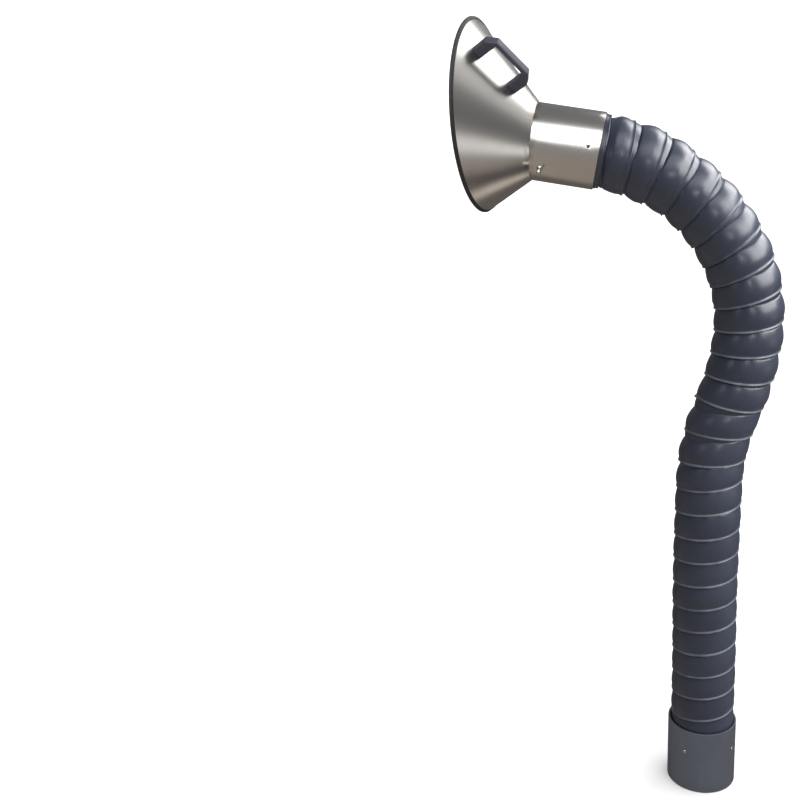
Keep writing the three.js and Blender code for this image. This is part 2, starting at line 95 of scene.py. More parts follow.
class Bench:
    """Hand tools: adding, picking, shaping and finishing one mesh."""

    @staticmethod
    def clear() -> None:
        """Leaves edit mode and deselects everything."""
        if bpy.context.object and bpy.context.object.mode != "OBJECT":
            bpy.ops.object.mode_set(mode="OBJECT")
        bpy.ops.object.select_all(action="DESELECT")

    @staticmethod
    def add(name: str, primitive: Callable[..., set], **options: object) -> bpy.types.Object:
        """Adds a primitive and names it.

        Args:
            name: Name of the piece.
            primitive: The operator that adds the start shape.
            options: What the operator is given.

        Returns:
            The new object, selected and active.
        """
        Bench.clear()
        primitive(**options)
        obj = bpy.context.object
        obj.name = obj.data.name = name
        return obj

    @staticmethod
    def pick(obj: bpy.types.Object, kind: Pick, test: Callable[[Vector], bool]) -> None:
        """Enters edit mode with the elements selected whose centres pass a test.

        Args:
            obj: The piece.
            kind: Vertices, edges or faces.
            test: Takes the centre of an element in the piece's own frame.
        """
        Bench.hold(obj)
        mesh = obj.data
        for items in (mesh.vertices, mesh.edges, mesh.polygons):
            items.foreach_set("select", np.zeros(len(items), bool))
        if kind is Pick.VERT:
            for vert in mesh.vertices:
                vert.select = test(vert.co)
        elif kind is Pick.EDGE:
            for edge in mesh.edges:
                a, b = (mesh.vertices[i].co for i in edge.vertices)
                edge.select = test((a + b) / 2)
        else:
            for face in mesh.polygons:
                face.select = test(face.center)
        bpy.ops.object.mode_set(mode="EDIT")
        bpy.ops.mesh.select_mode(type=kind.value)

    @staticmethod
    def hold(obj: bpy.types.Object) -> None:
        """Makes one piece the only selected and active one, in object mode."""
        Bench.clear()
        obj.select_set(True)
        bpy.context.view_layer.objects.active = obj

    @staticmethod
    def edit_all(obj: bpy.types.Object) -> None:
        """Enters edit mode with the whole piece selected."""
        Bench.hold(obj)
        bpy.ops.object.mode_set(mode="EDIT")
        bpy.ops.mesh.select_mode(type=Pick.VERT.value)
        bpy.ops.mesh.select_all(action="SELECT")

    @staticmethod
    def modifier(obj: bpy.types.Object, kind: str, **settings: object) -> None:
        """Adds one modifier, sets it and applies it.

        Args:
            obj: The piece.
            kind: Type of the modifier.
            settings: Its properties.
        """
        Bench.hold(obj)
        mod = obj.modifiers.new(kind.lower(), kind)
        for key, value in settings.items():
            setattr(mod, key, value)
        bpy.ops.object.modifier_apply(modifier=mod.name)

    @staticmethod
    def drill(obj: bpy.types.Object, place: Matrix, diameter: float, length: float) -> None:
        """Cuts a round hole through a piece.

        Args:
            obj: The piece.
            place: Frame of the hole in the piece's frame, Z along it.
            diameter: Of the hole.
            length: Of the cutter, about the frame's origin.
        """
        bit = Bench.add("bit", bpy.ops.mesh.primitive_cylinder_add, vertices=32, radius=diameter / 2, depth=length)
        bit.data.transform(place)
        Bench.modifier(obj, "BOOLEAN", operation="DIFFERENCE", solver="EXACT", object=bit)
        bpy.data.objects.remove(bit)

    @staticmethod
    def outline(name: str, points: Sequence[tuple[float, float]]) -> bpy.types.Object:
        """Makes a closed outline in the XZ plane from a circle's vertices.

        Args:
            name: Name of the piece.
            points: Its corners in order, as (x, z).

        Returns:
            The outline, with no face.
        """
        obj = Bench.add(name, bpy.ops.mesh.primitive_circle_add, vertices=len(points), fill_type="NOTHING")
        for vert, (x, z) in zip(obj.data.vertices, points):
            vert.co = (x, 0.0, z)
        return obj

    @staticmethod
    def turned(name: str, points: Sequence[tuple[float, float]], steps: int = 96) -> bpy.types.Object:
        """Spins a closed outline about the Z axis.

        Args:
            name: Name of the piece.
            points: Outline as (radius, height).
            steps: Sides of the turned piece.

        Returns:
            The turned piece.
        """
        obj = Bench.outline(name, points)
        Bench.edit_all(obj)
        bpy.ops.mesh.spin(steps=steps, angle=2 * math.pi, center=(0, 0, 0), axis=(0, 0, 1))
        bpy.ops.mesh.select_all(action="SELECT")
        bpy.ops.mesh.remove_doubles(threshold=1e-4)
        bpy.ops.mesh.normals_make_consistent(inside=False)
        bpy.ops.object.mode_set(mode="OBJECT")
        return obj

    @staticmethod
    def finish(obj: bpy.types.Object, place: Matrix, material: bpy.types.Material, smooth: float = 35.0) -> None:
        """Sets a piece into the row frame and dresses it.

        Args:
            obj: The piece, in millimetres in its own frame.
            place: That frame in the row frame.
            material: Its finish.
            smooth: Edges sharper than this many degrees stay hard.
        """
        Bench.edit_all(obj)
        bpy.ops.mesh.normals_make_consistent(inside=False)
        bpy.ops.object.mode_set(mode="OBJECT")
        obj.data.transform(place)
        obj.data.materials.clear()
        obj.data.materials.append(material)
        bpy.ops.object.shade_smooth_by_angle(angle=math.radians(smooth))

    @staticmethod
    def copy(obj: bpy.types.Object, name: str) -> bpy.types.Object:
        """Copies a piece with its own mesh."""
        twin = obj.copy()
        twin.data = obj.data.copy()
        twin.name = twin.data.name = name
        bpy.context.scene.collection.objects.link(twin)
        return twin


class Tree:
    """A node tree built by naming nodes, their settings and what feeds them."""

    def __init__(self, tree: bpy.types.NodeTree) -> None:
        """Keeps the tree and empties it."""
        self.tree = tree
        tree.nodes.clear()

    def node(self, kind: str, inputs: dict | None = None, **settings: object) -> bpy.types.Node:
        """Adds one node.

        Args:
            kind: Type of the node.
            inputs: Values, or sockets to link, by input name or index.
            settings: Properties of the node.

        Returns:
            The node.
        """
        made = self.tree.nodes.new(kind)
        for key, value in settings.items():
            setattr(made, key, value)
        for key, value in (inputs or {}).items():
            if isinstance(value, bpy.types.NodeSocket):
                self.tree.links.new(value, made.inputs[key])
            else:
                made.inputs[key].default_value = value
        return made

    def math(self, operation: str, *values: object, clamp: bool = False) -> bpy.types.NodeSocket:
        """Combines values.

        Args:
            operation: Name of the operation.
            values: Numbers or sockets.
            clamp: Keeps the result from 0 to 1.

        Returns:
            The result.
        """
        return self.node("ShaderNodeMath", dict(enumerate(values)), operation=operation, use_clamp=clamp).outputs[0]

    def mix(self, share: object, first: object, second: object) -> bpy.types.NodeSocket:
        """Mixes two colours by a share and returns the colour."""
        return self.node("ShaderNodeMix", {0: share, 6: first, 7: second}, data_type="RGBA").outputs[2]

    def noise(self, vector: bpy.types.NodeSocket, scale: float, detail: float = 3.0) -> bpy.types.NodeSocket:
        """Gives a noise value from 0 to 1."""
        return self.node("ShaderNodeTexNoise", {"Vector": vector, "Scale": scale, "Detail": detail}).outputs[0]

    def remap(self, value: object, low: float, high: float, first: float = 0.0, last: float = 1.0) -> bpy.types.NodeSocket:
        """Takes a value from one range to another, smoothly.

        Args:
            value: Number or socket.
            low: Start of the range.
            high: End of the range.
            first: Result at the start.
            last: Result at the end.

        Returns:
            The result.
        """
        span = {"Value": value, "From Min": low, "From Max": high, "To Min": first, "To Max": last}
        return self.node("ShaderNodeMapRange", span, interpolation_type="SMOOTHSTEP").outputs[0]


def wear_group() -> bpy.types.NodeTree:
    """Builds the shared wear masks once.

    Returns:
        A group that takes Vector and Scale and gives Cloud, Grit and Scuff, each from 0 to 1.
    """
    known = bpy.data.node_groups.get("wear")
    if known:
        return known
    group = bpy.data.node_groups.new("wear", "ShaderNodeTree")
    face = group.interface
    face.new_socket("Vector", in_out="INPUT", socket_type="NodeSocketVector")
    face.new_socket("Scale", in_out="INPUT", socket_type="NodeSocketFloat")
    for name in ("Cloud", "Grit", "Scuff"):
        face.new_socket(name, in_out="OUTPUT", socket_type="NodeSocketFloat")
    tree = Tree(group)
    given = tree.node("NodeGroupInput")
    place = tree.node("ShaderNodeVectorMath", {0: given.outputs[0]}, operation="SCALE")
    group.links.new(given.outputs[1], place.inputs["Scale"])
    vector = place.outputs[0]
    drawn = tree.node("ShaderNodeMapping", {"Vector": vector, "Scale": (1.0, 1.0, 0.08)}).outputs[0]
    cloud = tree.remap(tree.noise(vector, 9.0, 4.0), 0.35, 0.65)
    grit = tree.remap(tree.noise(vector, 900.0, 2.0), 0.60, 0.72)
    scuff = tree.math("MULTIPLY", tree.remap(tree.noise(drawn, 260.0, 2.0), 0.63, 0.74), cloud)
    tree.node("NodeGroupOutput", {0: cloud, 1: grit, 2: scuff})
    return group


@dataclass(frozen=True)
class Finish:
    """A finish: its colours, its shine and how it is worn."""

    name: str
    colour: tuple[float, float, float]
    other: tuple[float, float, float]
    roughness: float = 0.45
    spread: float = 0.10
    metallic: float = 0.0
    scale: float = 1.0
    grain: float = 0.0
    bump: float = 0.00002
    grit: float = 0.1
    scuff: float = 0.1

    def material(self) -> bpy.types.Material:
        """Builds the finish once and returns it."""
        return bpy.data.materials.get(self.name) or self.build()

    def build(self) -> bpy.types.Material:
        """Builds the node tree.

        Returns:
            The material.
        """
        made = bpy.data.materials.new(self.name)
        made.use_nodes = True
        made.diffuse_color = (*self.colour, 1.0)
        tree = Tree(made.node_tree)
        vector = self.place(tree)
        wear = tree.node("ShaderNodeGroup", node_tree=wear_group())
        tree.tree.links.new(vector, wear.inputs[0])
        wear.inputs[1].default_value = self.scale
        cloud, grit, scuff = wear.outputs[:3]
        colour = tree.mix(cloud, (*self.colour, 1.0), (*self.other, 1.0))
        light = tuple(min(1.0, 2.2 * c + 0.03) for c in self.colour)
        worn = tree.math("ADD", tree.math("MULTIPLY", grit, self.grit), tree.math("MULTIPLY", scuff, self.scuff), clamp=True)
        colour = self.tint(tree, tree.mix(worn, colour, (*light, 1.0)), vector)
        rough = tree.math("MULTIPLY_ADD", cloud, self.spread, self.roughness)
        rough = tree.math("MULTIPLY_ADD", scuff, self.scuff, rough)
        height = tree.math("ADD", tree.noise(vector, 1400.0, 2.0), tree.math("MULTIPLY", scuff, -0.5))
        surface = {"Base Color": colour, "Roughness": rough, "Metallic": self.metallic, "Anisotropic": self.grain}
        if self.bump:
            surface["Normal"] = tree.node("ShaderNodeBump", {"Distance": self.bump, "Height": height}).outputs[0]
        shader = tree.node("ShaderNodeBsdfPrincipled", surface)
        tree.node("ShaderNodeOutputMaterial", {"Surface": shader.outputs[0]})
        return made

    def place(self, tree: Tree) -> bpy.types.NodeSocket:
        """Gives the coordinates that the finish follows."""
        return tree.node("ShaderNodeTexCoord").outputs["Object"]

    def tint(self, tree: Tree, colour: bpy.types.NodeSocket, vector: bpy.types.NodeSocket) -> bpy.types.NodeSocket:
        """Changes the colour where a finish has marks of its own or a painted highlight."""
        return colour


@dataclass(frozen=True)
class StripFinish(Finish):
    """The hose's strip: extrusion lines along it and a painted highlight on its lips, strongest on the lower turns."""

    # Colour of the highlight painted on the lips.
    lip: tuple[float, float, float] = (0.085, 0.096, 0.118)

    def place(self, tree: Tree) -> bpy.types.NodeSocket:
        """Gives the coordinates that the finish follows."""
        return tree.node("ShaderNodeTexCoord").outputs["Object"]

    def tint(self, tree: Tree, colour: bpy.types.NodeSocket, vector: bpy.types.NodeSocket) -> bpy.types.NodeSocket:
        """Draws faint extrusion lines along the strip and paints a highlight on its lip.

        Args:
            tree: The material's tree.
            colour: Colour so far.
            vector: Coordinates of the finish.

        Returns:
            The changed colour.
        """
        strip = tree.node("ShaderNodeUVMap", uv_map="UVMap").outputs[0]
        lines = tree.node("ShaderNodeMapping", {"Vector": strip, "Scale": (6.0, 900.0, 1.0)}).outputs[0]
        share = tree.remap(tree.noise(lines, 1.0, 2.0), 0.45, 0.75, 0.0, 0.35)
        colour = tree.mix(share, colour, (*self.other, 1.0))
        along, across = tree.node("ShaderNodeSeparateXYZ", {0: strip}).outputs[:2]
        # Painted highlight on the lip: a pale band over the lip's bead, in patches, strong on the lower turns and
        # faint on the upper ones.
        edge = tree.math("MULTIPLY", tree.remap(across, 0.0030, 0.0042), tree.remap(across, 0.0070, 0.0092, 1.0, 0.0))
        patchy = tree.remap(tree.noise(vector, 38.0, 2.0), 0.35, 0.65, 0.55, 1.0)
        painted_lip_highlight = tree.math("MULTIPLY", tree.math("MULTIPLY", edge, patchy), tree.remap(along, 4.8, 6.2, 0.80, 0.10))
        return tree.mix(painted_lip_highlight, colour, (*self.lip, 1.0))


@dataclass(frozen=True)
class SheetFinish(Finish):
    """Rolled stainless sheet: heat tint along the weld, smears of handling."""

    place_in: Matrix = Matrix.Identity(4)
    weld: float = 0.095
    slope: float = 0.105

    def place(self, tree: Tree) -> bpy.types.NodeSocket:
        """Gives the coordinates in the hood's own frame."""
        inverse = self.place_in.inverted()
        turn = {"Location": inverse.translation, "Rotation": inverse.to_euler()}
        turn["Vector"] = tree.node("ShaderNodeTexCoord").outputs["Object"]
        return tree.node("ShaderNodeMapping", turn).outputs[0]

    def tint(self, tree: Tree, colour: bpy.types.NodeSocket, vector: bpy.types.NodeSocket) -> bpy.types.NodeSocket:
        """Browns the sheet in patches along the weld.

        Args:
            tree: The material's tree.
            colour: Colour so far.
            vector: Coordinates in the hood's frame.

        Returns:
            The changed colour.
        """
        parts = tree.node("ShaderNodeSeparateXYZ", {0: vector}).outputs
        rise = tree.math("SUBTRACT", parts[2], tree.math("MULTIPLY_ADD", parts[0], self.slope, self.weld))
        near = tree.remap(tree.math("ABSOLUTE", rise), 0.0, 0.010, 1.0, 0.0)
        patch = tree.remap(tree.noise(vector, 55.0, 2.0), 0.42, 0.62)
        share = tree.math("MULTIPLY", tree.math("MULTIPLY", near, patch), 0.45)
        return tree.mix(share, colour, (0.20, 0.13, 0.08, 1.0))


@dataclass
class Centreline:
    """The hose's middle: arcs end to end in the XZ plane, straight beyond its ends."""

    foot: float = 47.0
    runs: tuple[tuple[float, float], ...] = (
        (125.0, 0.0), (123.0, 1.0), (123.0, -1.5), (123.0, -0.5), (123.0, -20.5),
        (123.0, 18.5), (123.0, 29.0), (123.0, 25.0), (130.0, 28.0),
    )

    def joints(self) -> list[float]:
        """Stations of the joints, from the lowest."""
        return list(np.cumsum([length for length, _ in self.runs])[:-1])

    def collar(self) -> float:
        """Station of the hood collar's end."""
        return float(sum(length for length, _ in self.runs))

    def at(self, stations: np.ndarray) -> tuple[np.ndarray, np.ndarray, np.ndarray]:
        """Follows the middle.

        Args:
            stations: Distances from the hose's lower end.

        Returns:
            Points, angles from upright, and bends per millimetre.
        """
        s = np.asarray(stations, float)
        point = np.zeros(s.shape + (3,))
        point[..., 2] = self.foot
        angle, bend, start = np.zeros(s.shape), np.zeros(s.shape), 0.0
        steps = [*self.runs, (1e6, 0.0)]
        for i, (length, degrees) in enumerate(steps):
            low = -1e9 if i == 0 else 0.0
            part = np.clip(s - start, low, length)
            rate = math.radians(degrees) / length
            turn = rate * part
            chord = part * np.sinc(turn / 2 / math.pi)
            middle = angle + turn / 2
            point[..., 0] -= np.sin(middle) * chord
            point[..., 2] += np.cos(middle) * chord
            bend = np.where((s >= start) & (s < start + length), rate, bend)
            angle = angle + turn
            start += length
        return point, angle, bend

    def surface(self, stations: np.ndarray, turn: np.ndarray, radius: np.ndarray) -> np.ndarray:
        """Points at a radius from the middle, turned from the outer side of the bend towards +Y."""
        point, angle, _ = self.at(stations)
        out = np.stack([np.cos(angle), np.zeros_like(angle), np.sin(angle)], -1)
        across = radius * np.cos(turn)
        point = point + out * across[..., None]
        point[..., 1] += radius * np.sin(turn)
        return point

    def place(self, station: float) -> Matrix:
        """Frame at a station in the row frame, Z along the middle and X to the outer side, lengths in millimetres."""
        point, angle, _ = self.at(np.array(station))
        out = Vector((math.cos(angle), 0.0, math.sin(angle)))
        along = Vector((-math.sin(angle), 0.0, math.cos(angle)))
        turn = Matrix((out, along.cross(out), along)).transposed().to_4x4()
        return Matrix.Translation(Vector(point) * MM) @ turn @ Matrix.Scale(MM, 4)


@dataclass
class Hose:
    """The hose: one strip wound into a spiral, each turn a barrel arch whose lip lies over the turn below."""

    middle: Centreline
    radius: float = 51.0
    bore: float = 44.6
    first: float = 97.0
    pitch: float = 40.4
    slack: float = 14.6
    length: float = 1174.0
    columns: int = 96
    shoulder: float = 5.3
    bead: float = 2.6
    bead_width: float = 2.7
    barrel: float = 40.0
    flare: float = 3.4
    tear: float = 12.53
    finish: Finish = StripFinish(
        "hose_strip", (0.0146, 0.0180, 0.0300), (0.0180, 0.0223, 0.0355), roughness=0.31, spread=0.04, bump=0.000005,
        grit=0.02, scuff=0.02,
    )

    def seam(self, turns: np.ndarray) -> np.ndarray:
        """Station of the lip after a number of turns; two turns near the middle are pulled apart."""
        uneven = 0.5 * np.sin(2.3 * turns) + 0.35 * np.sin(5.1 * turns + 1.0)
        return self.first + self.pitch * turns + self.slack * smoothstep((turns - 10.8) / 2.4) + uneven

    def turns_at(self, station: float) -> float:
        """Number of turns at which the lip reaches a station."""
        turns = np.linspace(-4.0, 30.0, 6801)
        return float(np.interp(station, self.seam(turns), turns))

    def profile(self, span: np.ndarray, seam: np.ndarray) -> tuple[np.ndarray, np.ndarray]:
        """One closed section of the strip for each column.

        Args:
            span: Distance along the surface from a lip to the next lip, for each column.
            seam: Station of the lip, for each column.

        Returns:
            Distances from the lip and radii, rows by columns. The last row is the first one again.
        """
        end = span + 2.4
        barrel = self.barrel - 3.0 * smoothstep((seam - 780.0) / 160.0)
        depth = self.shoulder * (1.0 - 0.5 * smoothstep((seam - 1050.0) / 14.0))
        depth = depth * (0.78 + 0.22 * smoothstep((span / self.pitch - 1.0) / 0.12))

        def outer(distance: np.ndarray) -> np.ndarray:
            return self.outer(distance, span, barrel, depth)

        lip = outer(np.full(span.shape, 0.9))
        rows = [(np.full(span.shape, d), lip - depth) for d, depth in (
            (3.2, 2.3), (0.7, 2.0), (0.2, 1.6), (0.0, 1.05), (0.05, 0.5), (0.35, 0.12), (0.9, 0.0),
        )]
        for d in (1.4, 1.9, 2.4, 3.0, 3.7, 4.5, 5.5, 6.8):
            rows.append((np.full(span.shape, d), outer(np.full(span.shape, d))))
        knee = barrel * np.minimum(span / self.pitch, 1.0)
        for share in (0.2, 0.26, 0.33, 0.4, 0.47, 0.54, 0.6, 0.66, 0.71, 0.76, 0.81, 0.85, 0.89, 0.925, 0.955, 0.98, 1.0):
            rows.append((share * knee, outer(share * knee)))
        for share in (0.06, 0.15, 0.3, 0.5, 0.75, 1.0):
            rows.append((knee + share * (end - knee), outer(knee + share * (end - knee))))
        inside = np.full(span.shape, self.bore)
        rows += [(end, inside + 0.6), (end - 0.6, inside), (0.5 * end, inside), (inside * 0 + 3.8, inside)]
        rows += [(inside * 0 + 3.2, inside + 0.6), rows[0]]
        return np.stack([d for d, _ in rows]), np.stack([r for _, r in rows])

    def outer(self, distance: np.ndarray, span: np.ndarray, barrel: np.ndarray, depth: np.ndarray) -> np.ndarray:
        """Radius of the barrel, its beaded lip, its shoulder and the flange that an open turn shows.

        Args:
            distance: Distance from the lip along the surface.
            span: Distance from the lip to the next one.
            barrel: Width of the arch.
            depth: How far its shoulder falls.

        Returns:
            The radii.
        """
        pull = span / self.pitch
        held = distance / np.minimum(pull, 1.0)
        drop = 2.8 + 1.2 * np.clip((pull - 1.0) / 0.2, 0.0, 1.0) + 0.5 * np.clip((1.0 - pull) / 0.2, 0.0, 1.0)
        near = np.clip(1.0 - distance / (0.42 * span), 0.0, 1.0) ** 2
        bead = self.bead * np.exp(-((distance / self.bead_width) ** 2))
        fall = np.clip((held - 11.0) / (barrel - 11.0), 0.0, 1.0) ** 2.3
        flange = 1.6 * smoothstep((held - barrel) / 10.0) - 0.5 * np.exp(-(((held - barrel) / 0.8) ** 2))
        return self.radius - drop * near + bead - depth * fall + flange

    def swell(self, stations: np.ndarray) -> np.ndarray:
        """How much wider the last turns are, where they are pushed up to the hood."""
        return self.flare * smoothstep((stations - 985.0) / 55.0) * (1.0 - smoothstep((stations - 1096.0) / 11.0))

    def ribbon(self, name: str, low: float, high: float) -> bpy.types.Object:
        """Winds a length of the strip.

        Args:
            name: Name of the piece.
            low: First turn.
            high: Last turn.

        Returns:
            The strip as a closed tube with open ends, in the row frame.
        """
        count = max(8, round((high - low) * self.columns))
        turns = np.linspace(low, high, count + 1)
        seam, following = self.seam(turns), self.seam(turns + 1.0)
        angle = 2.0 * math.pi * turns
        _, _, bend = self.middle.at((seam + following) / 2)
        stretch = 1.0 + bend * self.radius * np.cos(angle)
        away, radius = self.profile((following - seam) * stretch, seam)
        torn = np.where(turns < self.tear, np.clip((turns - self.tear) / 0.1 + 1.0, 0.0, 1.0) ** 2, 0.0)
        radius = radius + 3.0 * torn * np.exp(-((away / 2.2) ** 2)) * (radius > self.radius - 4.0)
        stations = seam + away / stretch
        radius = radius + self.swell(stations) * (radius > self.bore + 1.0)
        tight = np.where(stations < 72.0, self.radius + 0.4, np.where(stations > 1104.0, self.radius, 99.0))
        radius = np.minimum(radius, tight)
        places = self.middle.surface(stations, np.broadcast_to(angle, away.shape), radius) * MM
        rows = len(away)
        obj = Bench.add(name, bpy.ops.mesh.primitive_grid_add, x_subdivisions=count, y_subdivisions=rows - 1, size=2.0)
        mesh = obj.data
        flat = np.empty(len(mesh.vertices) * 3)
        mesh.vertices.foreach_get("co", flat)
        flat = flat.reshape(-1, 3)
        column = np.rint((flat[:, 0] + 1.0) / 2.0 * count).astype(int)
        line = np.rint((flat[:, 1] + 1.0) / 2.0 * (rows - 1)).astype(int)
        mesh.vertices.foreach_set("co", places[line, column].ravel())
        corner = np.empty(len(mesh.loops), int)
        mesh.loops.foreach_get("vertex_index", corner)
        across = np.concatenate([[0.0], np.cumsum(np.hypot(np.diff(away[:, 0]), np.diff(radius[:, 0])))])
        uv = np.stack([angle[column[corner]] * self.radius, across[line[corner]]], -1) * MM
        mesh.uv_layers[0].data.foreach_set("uv", uv.ravel())
        mesh.uv_layers[0].name = "UVMap"
        mesh.update()
        Bench.edit_all(obj)
        bpy.ops.mesh.remove_doubles(threshold=1e-7)
        bpy.ops.mesh.normals_make_consistent(inside=False)
        bpy.ops.object.mode_set(mode="OBJECT")
        return obj

    def trim_end(self, obj: bpy.types.Object, station: float, above: bool) -> None:
        """Saws the strip off square at a station.

        Args:
            obj: The piece, in the row frame.
            station: Where the saw goes through.
            above: Whether the part above is waste.
        """
        place = self.middle.place(station)
        Bench.edit_all(obj)
        bpy.ops.mesh.bisect(
            plane_co=place.translation, plane_no=place.col[2].xyz.normalized(), use_fill=True,
            clear_inner=not above, clear_outer=above,
        )
        bpy.ops.object.mode_set(mode="OBJECT")

    def build(self) -> list[bpy.types.Object]:
        """Winds the hose in lengths, each around one joint.

        Returns:
            The lengths, from the lowest.
        """
        joints = self.middle.joints()
        cuts = [self.turns_at((a + b) / 2 - self.pitch / 2) for a, b in zip(joints, joints[1:])]
        cuts = [self.turns_at(-1.5 * self.pitch), *cuts, self.turns_at(self.length) + 0.5]
        pieces = []
        for i, station in enumerate(joints):
            obj = self.ribbon(f"hose_{i + 1}", cuts[i], cuts[i + 1])
            if i == 0:
                self.trim_end(obj, 0.0, above=False)
            if i == len(joints) - 1:
                self.trim_end(obj, self.length, above=True)
            Bench.finish(obj, Matrix.Identity(4), self.finish.material(), smooth=50.0)
            place = self.middle.place(station)
            along = np.array(place.col[2].xyz.normalized())
            origin = np.array(place.translation)
            low = self.reach(cuts[i], origin, along).max() if i else -0.045
            high = self.reach(cuts[i + 1], origin, along).min() if i < len(joints) - 1 else 0.045
            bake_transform(obj)
            nodes = [f"hose_section_{i + 1}"] + (["hose_section_9"] if i == len(joints) - 1 else [])
            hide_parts(*nodes)
            pieces.append(obj)
        return pieces

    def reach(self, cut: float, origin: np.ndarray, along: np.ndarray) -> np.ndarray:
        """How far the strip's edges beside a cut lie along a direction from a point."""
        turns = np.linspace(cut, cut + 1.0, 97)
        angle = 2.0 * math.pi * turns
        ring = np.full(turns.shape, self.radius)
        edges = [self.middle.surface(self.seam(turns) + shift, angle, ring) for shift in (0.0, 4.0)]
        return (np.concatenate(edges) * MM - origin) @ along


@dataclass
class Base:
    """The base: a cut length of pipe and four screws through it into the hose."""

    radius: float = 55.0
    wall: float = 3.2
    height: float = 112.0
    edge: float = 0.8
    screw_height: float = 73.0
    screw_turns: tuple[float, ...] = (-32.0, 58.0, 148.0, 238.0)
    pipe: Finish = Finish(
        "pipe", (0.050, 0.056, 0.074), (0.056, 0.062, 0.080), roughness=0.40, spread=0.12, bump=0.00002, grit=0.10,
        scuff=0.12,
    )
    zinc: Finish = Finish(
        "zinc", (0.56, 0.56, 0.54), (0.42, 0.42, 0.41), roughness=0.28, spread=0.2, metallic=1.0, scale=6.0, grit=0.05,
    )

    def build(self) -> list[bpy.types.Object]:
        """Makes the pipe and its screws.

        Returns:
            The pieces.
        """
        return [self.collar(), *self.screws()]

    def collar(self) -> bpy.types.Object:
        """Makes the pipe: a cylinder without ends, given its wall and broken edges.

        Returns:
            The pipe.
        """
        obj = Bench.add(
            "base_pipe", bpy.ops.mesh.primitive_cylinder_add, vertices=160, radius=self.radius, depth=self.height,
            end_fill_type="NOTHING", location=(0, 0, self.height / 2),
        )
        bpy.ops.object.transform_apply(location=True)
        Bench.modifier(obj, "SOLIDIFY", thickness=self.wall, offset=-1.0)
        Bench.modifier(obj, "BEVEL", width=self.edge, segments=3, limit_method="ANGLE", angle_limit=math.radians(40))
        Bench.finish(obj, Matrix.Scale(MM, 4), self.pipe.material(), smooth=50.0)
        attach(obj, "base")
        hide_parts("base_collar")
        return obj

    def screws(self) -> list[bpy.types.Object]:
        """Makes one pan-head screw with a cross recess and sets a copy in each hole.

        Returns:
            The screws.
        """
        model = PanScrew("base_screw_model", head=3.0, height=1.8, shank=1.5, length=7.5).build()
        made = []
        for i, turn in enumerate(self.screw_turns):
            obj = Bench.copy(model, f"base_screw_piece_{i + 1}")
            a = math.radians(turn)
            out = Vector((math.cos(a), math.sin(a), 0.0))
            up = Vector((0.0, 0.0, 1.0))
            side = out.cross(up)
            place = Matrix((up, side, out)).transposed().to_4x4()
            where = out * (self.radius + 0.3) + up * self.screw_height
            spin = Matrix.Rotation(math.radians(23 + 71 * i), 4, "Z")
            Bench.finish(obj, Matrix.Scale(MM, 4) @ Matrix.Translation(where) @ place @ spin, self.zinc.material())
            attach(obj, "base")
            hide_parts(f"base_screw_{i + 1}")
            made.append(obj)
        bpy.data.objects.remove(model)
        return made


@dataclass
class PanScrew:
    """A screw with a domed pan head, its seat at z = 0 and its shank below."""

    name: str
    head: float
    height: float
    shank: float
    length: float

    def build(self) -> bpy.types.Object:
        """Turns the screw and presses a cross into its head.

        Returns:
            The screw in millimetres.
        """
        h, r = self.height, self.head
        crown = [(r * math.sin(a), 0.35 * h + 0.65 * h * math.cos(a)) for a in np.radians((90, 70, 50, 30, 15))]
        obj = Bench.turned(self.name, [
            (0.0, h), *reversed([(x, z) for x, z in crown]), (r, 0.0), (self.shank, 0.0),
            (self.shank, 1.0 - self.length), (0.25 * self.shank, -self.length), (0.0, -self.length),
        ], steps=32)
        for turn in (0.0, 90.0):
            slot = Bench.add("slot", bpy.ops.mesh.primitive_cube_add, size=1.0)
            Bench.pick(slot, Pick.FACE, lambda c: c.z < -0.4)
            bpy.ops.transform.resize(value=(0.6, 0.6, 1.0))
            bpy.ops.object.mode_set(mode="OBJECT")
            size = Matrix.Diagonal((1.15 * r, 0.3 * r, 1.2 * h, 1.0))
            slot.data.transform(Matrix.Rotation(math.radians(turn), 4, "Z") @ Matrix.Translation((0, 0, h)) @ size)
            Bench.modifier(obj, "BOOLEAN", operation="DIFFERENCE", solver="EXACT", object=slot)
            bpy.data.objects.remove(slot)
        return obj


